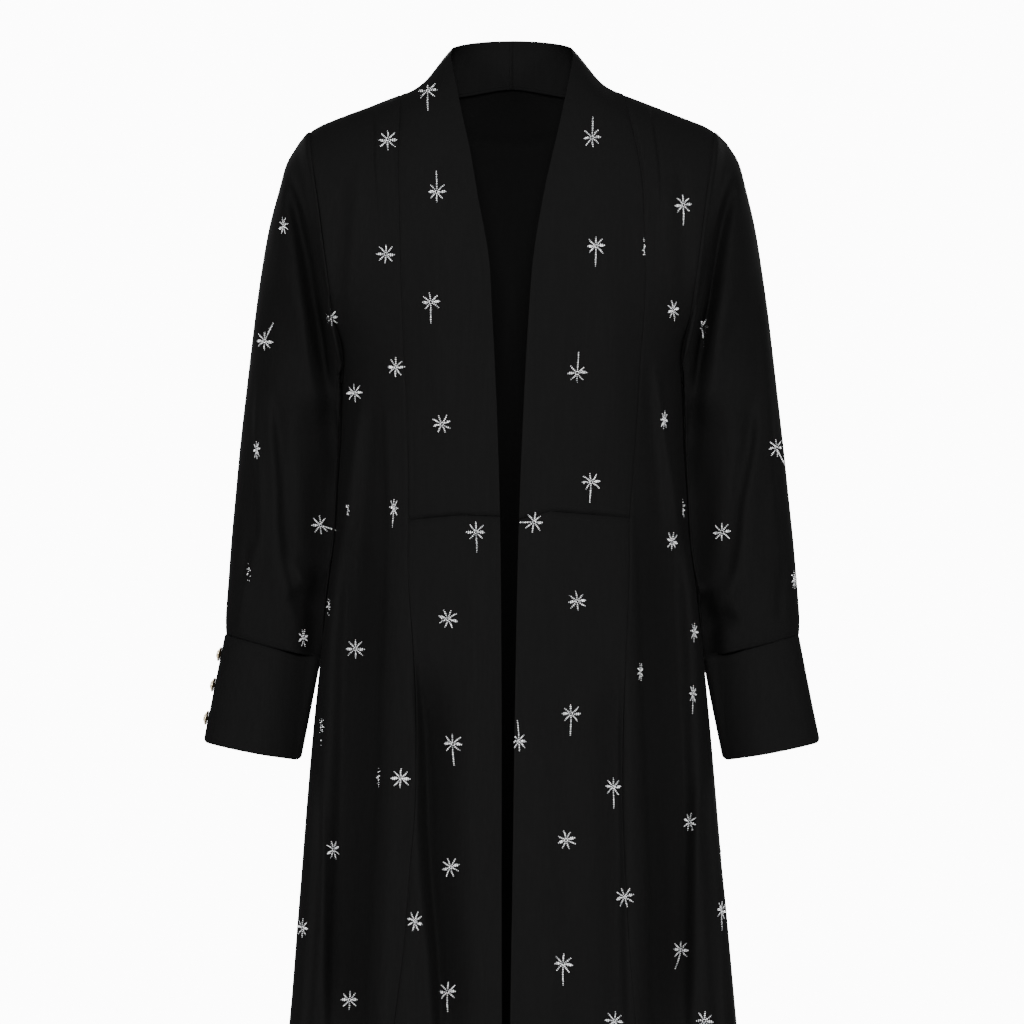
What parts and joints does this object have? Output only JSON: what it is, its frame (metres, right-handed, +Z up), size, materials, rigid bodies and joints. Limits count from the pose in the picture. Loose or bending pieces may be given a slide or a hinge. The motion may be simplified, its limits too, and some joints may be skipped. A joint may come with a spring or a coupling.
{
  "type": "open-front abaya cloak, worn form",
  "caption": "Long open-front black abaya in hollow worn form, with a wide front band that stands up as a collar, set-in sleeves and deep buttoned cuffs.",
  "frame": {"origin": "between the shoulders, level with the neck ends of the shoulder seams, where the wearer's shoulders hold the cloak up", "axes": "+Z up, -Y the open front, +X the wearer's left"},
  "size_m": [0.6424, 0.3559, 1.4576],
  "materials": {
    "black_crepe": "matt black crepe with a fine slub and a soft sheen",
    "old_gold": "antique gold plate, polished high spots and dark recesses",
    "silver_beads": "silver-lined glass seed beads"
  },
  "bodies": {
    "root": {"back": "black_crepe", "side_front_left": "black_crepe", "side_front_right": "black_crepe", "band_left": "black_crepe", "band_right": "black_crepe", "lower_front_left": "black_crepe", "lower_front_right": "black_crepe", "sleeve_left": "black_crepe", "sleeve_right": "black_crepe", "cuff_left": "black_crepe", "cuff_right": "black_crepe", "button_left_1": "old_gold", "button_left_2": "old_gold", "button_left_3": "old_gold", "button_right_1": "old_gold", "button_right_2": "old_gold", "button_right_3": "old_gold"}
  },
  "joints": []
}
